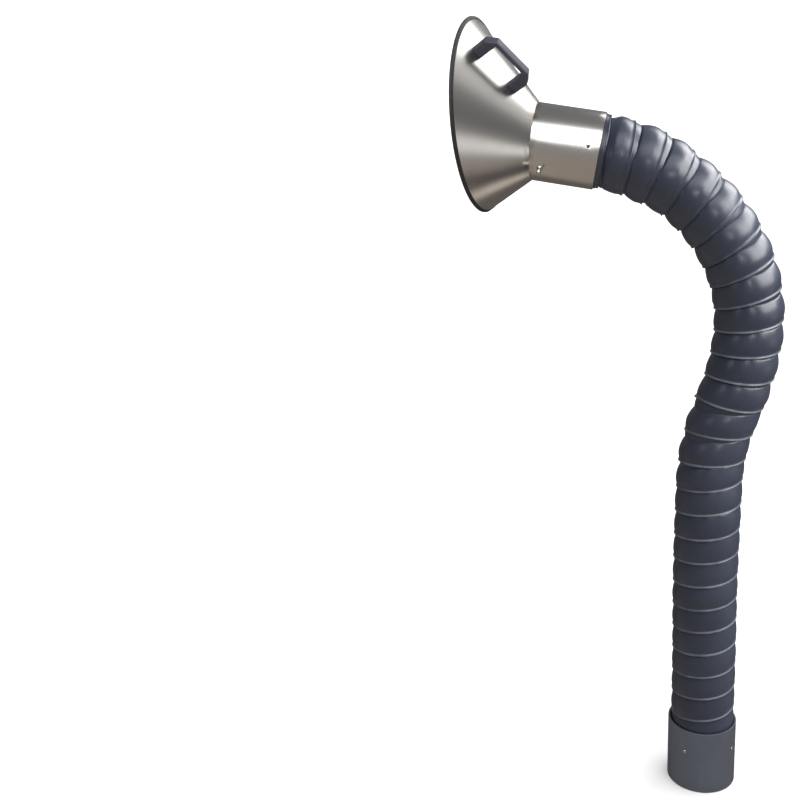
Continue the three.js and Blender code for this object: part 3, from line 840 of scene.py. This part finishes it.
@dataclass
class Hood:
    """The hood: sleeve, rolled collar, oblique cone, edge trim, weld tacks, rivets and the bridge handle."""

    middle: Centreline
    turn: float = 33.0
    collar_radius: float = 56.0
    sheet: float = 0.8
    collar_length: float = 95.0
    cut_tilt: float = 6.0
    sleeve_bore: float = 51.3
    sleeve_radius: float = 54.9
    sleeve_show: float = 8.0
    seat: float = 58.0
    hole_diameter: float = 4.5
    hole_inset: float = 16.0
    hole_turn: float = -48.0
    rivet_turns: tuple[float, ...] = (-92.0, 88.0)
    mouth_radius: float = 137.5
    mouth_reach: float = 83.0
    mouth_offset: float = 30.0
    mouth_tilt: float = 16.5
    trim_wall: float = 1.3
    trim_depth: float = 5.0
    trim_lip: float = 1.6
    teeth: int = 240
    handle_from_rim: float = 74.5
    handle_length: float = 87.0
    handle_height: float = 35.0
    handle_width: float = 14.0
    handle_leg: float = 15.5
    handle_bar: float = 6.0
    handle_chamfer: float = 12.5
    trim_black: Finish = Finish(
        "trim_rubber", (0.006, 0.006, 0.007), (0.011, 0.011, 0.012), roughness=0.46, spread=0.15, bump=0.00004, grit=0.12,
        scuff=0.2,
    )
    handle_black: Finish = Finish(
        "handle_plastic", (0.027, 0.027, 0.040), (0.034, 0.034, 0.048), roughness=0.40, spread=0.10, bump=0.00010,
        grit=0.45, scuff=0.15, scale=1.0,
    )
    sleeve_finish: Finish = Finish(
        "sleeve", (0.014, 0.017, 0.027), (0.018, 0.021, 0.032), roughness=0.28, spread=0.08, bump=0.00001,
    )
    brass: Finish = Finish(
        "brass", (0.55, 0.38, 0.15), (0.45, 0.30, 0.12), roughness=0.3, spread=0.2, metallic=1.0, scale=5.0,
    )
    zinc: Finish = Base.zinc

    def __post_init__(self) -> None:
        """Sets the hood's frame: Z along the collar towards the mouth, X towards the handle."""
        self.place = self.middle.place(self.middle.collar()) @ Matrix.Rotation(-math.radians(self.turn), 4, "Z")
        rigid = Matrix.Translation(self.place.translation) @ self.place.to_3x3().normalized().to_4x4()
        self.steel = SheetFinish(
            "stainless_sheet", (0.60, 0.58, 0.55), (0.56, 0.54, 0.51), roughness=0.24, spread=0.03, metallic=1.0,
            scale=1.0, grain=0.0, bump=0.0, grit=0.0, scuff=0.02, place_in=rigid,
        )

    def weld_point(self, angle: float, radius: float | None = None) -> Vector:
        """Point of the welded edge at an angle from the handle."""
        r = self.collar_radius if radius is None else radius
        x = r * math.cos(angle)
        return Vector((x, r * math.sin(angle), self.collar_length + 0.3 + x * math.tan(math.radians(self.cut_tilt))))

    def mouth_point(self, angle: float) -> Vector:
        """Point of the mouth's edge at an angle from the handle."""
        tilt = math.radians(self.mouth_tilt)
        across = self.mouth_radius * math.cos(angle)
        return Vector((
            self.mouth_offset + across * math.cos(tilt), self.mouth_radius * math.sin(angle),
            self.collar_length + self.mouth_reach + across * math.sin(tilt),
        ))

    def ruling(self, angle: float) -> tuple[Vector, Vector, Vector]:
        """Mouth end of a ruling, its direction towards the collar and the sheet's outward normal."""
        step = 1e-4
        around = (self.weld_point(angle + step) + self.mouth_point(angle + step)
                  - self.weld_point(angle - step) - self.mouth_point(angle - step))
        inward = (self.weld_point(angle) - self.mouth_point(angle)).normalized()
        return self.mouth_point(angle), inward, inward.cross(around).normalized()

    def set_on(self, obj: bpy.types.Object, finish: Finish, slot: Slot, nodes: Sequence[str] = (), place: Matrix | None = None,
               smooth: float = 35.0) -> bpy.types.Object:
        """Sets a piece on the hood.

        Args:
            obj: The piece in millimetres.
            finish: Its finish.
            slot: Its material slot; not used.
            nodes: CAD nodes it stands for.
            place: Its frame in the hood's frame.
            smooth: Edges sharper than this many degrees stay hard.

        Returns:
            The piece.
        """
        Bench.finish(obj, self.place @ (place or Matrix.Identity(4)), finish.material(), smooth)
        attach(obj, "hood")
        if nodes:
            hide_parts(*nodes)
        return obj

    def build(self) -> list[bpy.types.Object]:
        """Makes the hood.

        Returns:
            The pieces.
        """
        pieces = [self.sleeve(), self.collar(), self.cone(), self.trim(), self.tacks(), *self.rivets(), self.handle()]
        return pieces + self.fasteners()

    def sleeve(self) -> bpy.types.Object:
        """Turns the dark tapered ring between hose and steel."""
        bore, outer, show = self.sleeve_bore, self.sleeve_radius, self.sleeve_show
        obj = Bench.turned("hood_cuff", [
            (bore, -show), (bore + 0.9, -show), (bore + 1.5, -show + 0.3), (bore + 1.9, -show + 0.9), (bore + 1.9, -show + 1.7),
            (bore + 1.6, -show + 2.5), (bore + 1.7, -show + 3.2), (outer - 0.9, -1.5), (outer - 0.8, -0.3), (outer, 0.4),
            (outer, self.seat), (bore, self.seat),
        ], steps=128)
        return self.set_on(obj, self.sleeve_finish, Slot.PIPE, ["hood_sleeve"], smooth=40.0)

    def collar(self) -> bpy.types.Object:
        """Rolls the collar: a cylinder sawn off at a slant, given its sheet thickness and its hole.

        Returns:
            The collar.
        """
        tall = self.collar_length + 20.0
        obj = Bench.add(
            "hood_pipe", bpy.ops.mesh.primitive_cylinder_add, vertices=160, radius=self.collar_radius, depth=tall,
            end_fill_type="NOTHING", location=(0, 0, tall / 2),
        )
        bpy.ops.object.transform_apply(location=True)
        Bench.edit_all(obj)
        tilt = math.radians(self.cut_tilt)
        bpy.ops.mesh.bisect(
            plane_co=(0, 0, self.collar_length), plane_no=(-math.sin(tilt), 0, math.cos(tilt)), clear_outer=True,
        )
        for height in (self.hole_inset - 4.0, self.hole_inset + 4.0):
            bpy.ops.mesh.select_all(action="SELECT")
            bpy.ops.mesh.bisect(plane_co=(0, 0, height), plane_no=(0, 0, 1))
        bpy.ops.object.mode_set(mode="OBJECT")
        Bench.modifier(obj, "SOLIDIFY", thickness=self.sheet, offset=-1.0)
        Bench.drill(obj, self.radial(self.hole_turn, self.hole_inset), self.hole_diameter, 4.0)
        Bench.modifier(obj, "BEVEL", width=0.12, segments=2, limit_method="ANGLE", angle_limit=math.radians(50))
        return self.set_on(obj, self.steel, Slot.STEEL, ["hood_collar"], smooth=30.0)

    def radial(self, turn: float, height: float, radius: float | None = None) -> Matrix:
        """Frame on the collar's outside, Z outwards and X along it."""
        a = math.radians(turn)
        out = Vector((math.cos(a), math.sin(a), 0.0))
        along = Vector((0.0, 0.0, 1.0))
        r = self.collar_radius if radius is None else radius
        return Matrix.Translation(out * r + along * height) @ Matrix((along, out.cross(along), out)).transposed().to_4x4()

    def cone(self) -> bpy.types.Object:
        """Draws the cone: two rings of vertices set on weld and mouth, bridged, given its sheet thickness.

        Returns:
            The cone.
        """
        sides = 192
        obj = Bench.add("hood_sheet", bpy.ops.mesh.primitive_circle_add, vertices=sides, fill_type="NOTHING")
        Bench.edit_all(obj)
        bpy.ops.mesh.extrude_region_move(TRANSFORM_OT_translate={"value": (0, 0, 1)})
        bpy.ops.object.mode_set(mode="OBJECT")
        for vert in obj.data.vertices:
            angle = math.atan2(vert.co.y, vert.co.x)
            vert.co = self.mouth_point(angle) if vert.co.z > 0.5 else self.weld_point(angle)
        Bench.pick(obj, Pick.EDGE, lambda c: True)
        bpy.ops.mesh.normals_make_consistent(inside=False)
        bpy.ops.object.mode_set(mode="OBJECT")
        Bench.modifier(obj, "SOLIDIFY", thickness=self.sheet, offset=-1.0)
        return self.set_on(obj, self.steel, Slot.STEEL, ["hood_cone"], smooth=30.0)

    def trim(self) -> bpy.types.Object:
        """Bends a toothed channel around the mouth.

        Returns:
            The trim.
        """
        half = self.sheet / 2 + 0.3
        outside = half + self.trim_wall
        lip, depth = self.trim_lip, self.trim_depth
        section = [
            (depth, half), (depth, outside - 0.5), (depth - 0.5, outside), (2.2, outside), (0.3, outside), (-0.7, outside - 0.3),
            (-1.3, outside - 0.8), (-lip, 0.6), (-lip, -0.6), (-1.3, 0.8 - outside), (-0.7, 0.3 - outside), (0.3, -outside),
            (2.2, -outside), (depth - 0.5, -outside), (depth, 0.5 - outside), (depth, -half), (-0.3, -half), (-0.3, half),
        ]
        rows, count = len(section) + 1, self.teeth * 4
        obj = Bench.add("hood_trim", bpy.ops.mesh.primitive_grid_add, x_subdivisions=count, y_subdivisions=rows - 1, size=2.0)
        rings = []
        for i in range(count + 1):
            mouth, inward, normal = self.ruling(2.0 * math.pi * i / count)
            pinch = (0.0, 0.0, 0.32, 0.32)[i % 4]
            ring = []
            for u, w in [*section, section[0]]:
                if abs(w) > half + 0.4:
                    w -= math.copysign(pinch, w)
                ring.append(mouth + inward * u + normal * (w - self.sheet / 2))
            rings.append(ring)
        for vert in obj.data.vertices:
            i = round((vert.co.x + 1.0) / 2.0 * count)
            j = round((vert.co.y + 1.0) / 2.0 * (rows - 1))
            vert.co = rings[i][j]
        Bench.edit_all(obj)
        bpy.ops.mesh.remove_doubles(threshold=1e-3)
        bpy.ops.object.mode_set(mode="OBJECT")
        return self.set_on(obj, self.trim_black, Slot.TRIM, ["hood_edge_trim"], smooth=40.0)

    def tacks(self) -> bpy.types.Object:
        """Lays weld tacks along the seam between collar and cone.

        Returns:
            The tacks as one piece.
        """
        rng = np.random.default_rng(5)
        drops = []
        for turn in np.arange(-176.0, 180.0, 15.0):
            angle = math.radians(turn + rng.uniform(-4, 4))
            drop = Bench.add("tack", bpy.ops.mesh.primitive_uv_sphere_add, segments=16, ring_count=8, radius=1.0)
            Bench.pick(drop, Pick.VERT, lambda c: c.z > 0.3)
            bpy.ops.transform.resize(value=(0.8, 0.8, 0.8))
            bpy.ops.object.mode_set(mode="OBJECT")
            size = Matrix.Diagonal((rng.uniform(1.3, 1.9), rng.uniform(2.0, 3.6), rng.uniform(0.7, 1.1), 1.0))
            where = self.weld_point(angle)
            frame_ = self.radial(math.degrees(angle), where.z, self.collar_radius + 0.1)
            drop.data.transform(frame_ @ size)
            drops.append(drop)
        Bench.clear()
        for drop in drops:
            drop.select_set(True)
        bpy.context.view_layer.objects.active = drops[0]
        bpy.ops.object.join()
        obj = bpy.context.object
        obj.name = obj.data.name = "weld_tacks"
        return self.set_on(obj, self.steel, Slot.STEEL, smooth=60.0)

    def rivets(self) -> list[bpy.types.Object]:
        """Makes one rivet with the bulb of its stud and sets it in both places.

        Returns:
            The rivets.
        """
        model = Bench.turned("rivet_model", [
            (0.0, 12.2), (1.6, 12.0), (2.8, 11.4), (3.6, 10.4), (3.9, 9.0), (3.7, 6.5), (3.4, 4.0),
            (3.2, 2.2), (3.7, 1.75), (4.4, 0.9), (4.65, 0.25), (4.6, 0.0),
            (2.0, 0.0), (2.0, -1.4), (3.2, -1.5), (3.1, -3.4), (2.2, -4.4), (0.0, -4.4),
        ], steps=40)
        made = []
        for i, turn in enumerate(self.rivet_turns):
            height = self.collar_length - 16.0 + self.collar_radius * math.cos(math.radians(turn)) * math.tan(math.radians(self.cut_tilt))
            obj = Bench.copy(model, f"rivet_{i + 1}")
            place = self.radial(turn, height, self.collar_radius + 0.15)
            made.append(self.set_on(obj, self.zinc, Slot.ZINC, [f"hood_rivet_{i + 1}"], place))
        bpy.data.objects.remove(model)
        return made

    def handle_place(self) -> Matrix:
        """Frame of the handle on the cone's longest ruling, X towards the collar and Z out of the sheet."""
        mouth, inward, normal = self.ruling(0.0)
        turn = Matrix((inward, normal.cross(inward), normal)).transposed().to_4x4()
        return Matrix.Translation(mouth + inward * self.handle_from_rim) @ turn

    def handle(self) -> bpy.types.Object:
        """Cuts the bridge handle from an outline, extrudes it across and rounds its edges.

        Returns:
            The handle.
        """
        half, height, chamfer = self.handle_length / 2, self.handle_height, self.handle_chamfer
        inner, under = half - self.handle_leg, height - self.handle_bar
        obj = Bench.outline("bridge_handle", [
            (-half, 0.3), (-inner, 0.3), (-inner, under), (inner, under), (inner, 0.3), (half, 0.3),
            (half, height - chamfer), (half - chamfer, height), (chamfer - half, height), (-half, height - chamfer),
        ])
        Bench.edit_all(obj)
        bpy.ops.transform.translate(value=(0, -self.handle_width / 2, 0))
        bpy.ops.mesh.edge_face_add()
        bpy.ops.mesh.extrude_region_move(TRANSFORM_OT_translate={"value": (0, self.handle_width, 0)})
        bpy.ops.mesh.select_all(action="SELECT")
        bpy.ops.mesh.normals_make_consistent(inside=False)
        bpy.ops.object.mode_set(mode="OBJECT")
        Bench.modifier(obj, "BEVEL", width=0.9, segments=3, limit_method="ANGLE", angle_limit=math.radians(30))
        return self.set_on(obj, self.handle_black, Slot.HANDLE, ["handle"], self.handle_place(), smooth=40.0)

    def fasteners(self) -> list[bpy.types.Object]:
        """Sets the handle's screws inside the cone and dresses the washers and inserts.

        Returns:
            The pieces and nodes that were dressed.
        """
        reach = (self.handle_length - self.handle_leg) / 2
        model = PanScrew("handle_screw_model", head=4.5, height=3.4, shank=2.4, length=14.0).build()
        made = []
        for i, side in enumerate((-1, 1)):
            obj = Bench.copy(model, f"handle_screw_piece_{i + 1}")
            flip = Matrix.Rotation(math.pi, 4, "X") @ Matrix.Rotation(0.5 + i, 4, "Z")
            place = self.handle_place() @ Matrix.Translation((side * reach, 0, -2.62)) @ flip
            made.append(self.set_on(obj, self.zinc, Slot.ZINC, [f"handle_screw_{i + 1}"], place))
        bpy.data.objects.remove(model)
        for name, finish in (("handle_washer", self.zinc), ("handle_insert", self.brass)):
            for i in (1, 2):
                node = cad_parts[f"{name}_{i}"]
                node.data.materials.clear()
                node.data.materials.append(finish.material())
                made.append(node)
        return made


@dataclass
class Studio:
    """A pale floor that runs up into a pale wall, soft light and the camera of the photograph."""

    focal: float = 1081.5
    picture: float = 800.0
    eye: tuple[float, float, float] = (-0.11016, -1.63452, 1.195)
    azimuth: float = 13.0
    pitch: float = 17.49
    roll: float = -3.49
    spots: tuple[tuple[float, float, float, tuple[float, float, float]], ...] = (
        (101.0, -41.0, 10.0, (0.03, 0.028, 0.026)),
        (122.0, -47.0, 9.0, (0.95, 0.86, 0.76)),
        (85.0, 3.0, 13.0, (0.16, 0.16, 0.165)),
        (108.0, 25.0, 17.0, (0.80, 0.80, 0.81)),
    )

    def build(self) -> None:
        """Sets up everything around the object."""
        self.floor()
        self.lights()
        self.world()
        self.camera()

    def floor(self) -> None:
        """Makes the floor and wall in one bent sheet."""
        obj = Bench.add("floor", bpy.ops.mesh.primitive_plane_add, size=14.0)
        Bench.pick(obj, Pick.EDGE, lambda c: c.y > 6.0)
        bpy.ops.mesh.extrude_region_move(TRANSFORM_OT_translate={"value": (0, 0, 7)})
        bpy.ops.object.mode_set(mode="OBJECT")
        Bench.modifier(obj, "BEVEL", width=3.0, segments=16, limit_method="ANGLE")
        paint = Finish("studio_floor", (0.90, 0.90, 0.90), (0.92, 0.92, 0.92), roughness=0.7, grit=0.0, scuff=0.0)
        obj.data.materials.append(paint.material())
        bpy.ops.object.shade_smooth()
        obj.visible_glossy = False
        obj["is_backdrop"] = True

    def lights(self) -> None:
        """Hangs the soft lights; some are for the hose or the floor alone, some aren't mirrored."""
        groups = {}
        shown = [obj.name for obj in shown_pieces()]
        hose = [name for name in shown if name.startswith("hose_")]
        for group, names in (("hose", hose), ("rest", [n for n in shown if n not in hose]), ("floor", ["floor"])):
            groups[group] = bpy.data.collections.new(f"lit_{group}")
            for name in names:
                groups[group].objects.link(bpy.data.objects[name])
        for name, watts, size, where, aim, mirrored, group in (
            ("over", 110.0, (3.0, 3.0), (1.2, -0.4, 3.3), (0.0, 0.0, 0.0), False, None),
            ("wall", 330.0, (6.0, 3.0), (-1.5, 3.2, 4.5), (-2.5, 7.0, 1.5), False, None),
            ("pale", 160.0, (6.0, 6.0), (-1.0, -0.5, 5.0), (-0.6, 0.4, 0.0), False, "floor"),
            ("high", 104.0, (3.4, 2.6), (0.0, -2.3, 2.85), (-0.1, 0.0, 1.1), True, "rest"),
            ("top", 40.0, (2.6, 2.0), (0.5, -1.7, 3.3), (0.0, 0.0, 1.0), True, "hose"),
            ("back", 34.0, (2.0, 1.6), (1.45, 1.75, 2.9), (-0.2, 0.0, 1.1), True, None),
            ("low", 1.5, (1.0, 0.5), (2.05, -0.3, 0.45), (-0.3, 0.0, 1.2), True, None),
            ("front", 12.0, (0.45, 0.4), (0.45, -3.0, 1.75), (0.0, 0.0, 0.8), True, "hose"),
            ("left", 4.0, (0.3, 0.3), (-2.2, -2.1, 1.7), (0.0, 0.0, 0.8), True, "hose"),
            ("edge", 140.0, (2.6, 1.8), (2.1, -0.8, 2.1), (0.0, 0.0, 0.8), True, "hose"),
            ("rim", 70.0, (2.0, 1.6), (1.7, 1.0, 2.4), (0.0, 0.0, 0.7), True, "hose"),
        ):
            lamp = bpy.data.lights.new(name, "AREA")
            lamp.shape = "RECTANGLE"
            lamp.energy, lamp.size, lamp.size_y = watts, *size
            obj = bpy.data.objects.new(name, lamp)
            obj.location = where
            obj.rotation_euler = (Vector(aim) - Vector(where)).to_track_quat("-Z", "Y").to_euler()
            obj.visible_glossy = mirrored
            obj.visible_camera = False
            bpy.context.scene.collection.objects.link(obj)
            if group:
                obj.light_linking.receiver_collection = groups[group]

    def world(self) -> None:
        """Shades the surroundings: a dim room, warm below and darker behind, that itself is seen as a pale wall."""
        world = bpy.data.worlds.new("studio")
        world.use_nodes = True
        tree = Tree(world.node_tree)
        towards = tree.node("ShaderNodeTexCoord").outputs["Generated"]
        parts = tree.node("ShaderNodeSeparateXYZ", {0: towards}).outputs
        low = tree.mix(tree.remap(parts[2], -0.6, -0.25), (0.42, 0.36, 0.32, 1.0), (0.35, 0.34, 0.335, 1.0))
        low = tree.mix(tree.remap(parts[1], 0.1, 0.6), low, (0.15, 0.135, 0.125, 1.0))
        colour = tree.mix(tree.remap(parts[2], -0.06, 0.02), low, (0.235, 0.235, 0.24, 1.0))
        for azimuth, height, width, shade in self.spots:
            a, e = math.radians(azimuth), math.radians(height)
            where = (math.sin(a) * math.cos(e), -math.cos(a) * math.cos(e), math.sin(e))
            near = tree.node("ShaderNodeVectorMath", {0: towards, 1: where}, operation="DOT_PRODUCT").outputs["Value"]
            share = tree.remap(near, math.cos(math.radians(width)), math.cos(math.radians(0.4 * width)))
            colour = tree.mix(share, colour, (*shade, 1.0))
        seen = tree.node("ShaderNodeLightPath").outputs["Is Camera Ray"]
        colour = tree.mix(seen, colour, (0.94, 0.94, 0.94, 1.0))
        back = tree.node("ShaderNodeBackground", {"Color": colour, "Strength": 1.0})
        tree.node("ShaderNodeOutputWorld", {"Surface": back.outputs[0]})
        bpy.context.scene.world = world

    def camera(self) -> None:
        """Places the camera as the photograph shows the object."""
        a, p, r = (math.radians(v) for v in (self.azimuth, self.pitch, self.roll))
        ahead = Vector((-math.sin(a) * math.cos(p), math.cos(a) * math.cos(p), -math.sin(p)))
        right = Vector((math.cos(a), math.sin(a), 0.0))
        up = right.cross(ahead)
        turned_right = right * math.cos(r) + up * math.sin(r)
        turned_up = up * math.cos(r) - right * math.sin(r)
        data = bpy.data.cameras.new("camera")
        data.sensor_width = 36.0
        data.lens = 36.0 * self.focal / self.picture
        data.clip_end = 60.0
        obj = bpy.data.objects.new("camera", data)
        obj.matrix_world = Matrix.Translation(self.eye) @ Matrix((turned_right, turned_up, -ahead)).transposed().to_4x4()
        bpy.context.scene.collection.objects.link(obj)
        bpy.context.scene.camera = obj
        bpy.context.scene.view_settings.view_transform = "Standard"


def main() -> None:
    """Builds the arm piece by piece and reports each one."""
    logging.basicConfig(level=logging.INFO, format="%(name)s: %(message)s")
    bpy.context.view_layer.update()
    middle = Centreline()
    for part in (Base(), Hose(middle), Hood(middle)):
        for piece in part.build():
            LOG.info("%s %d faces", piece.name, len(piece.data.polygons))
    Studio().build()


if __name__ == "__main__":
    main()
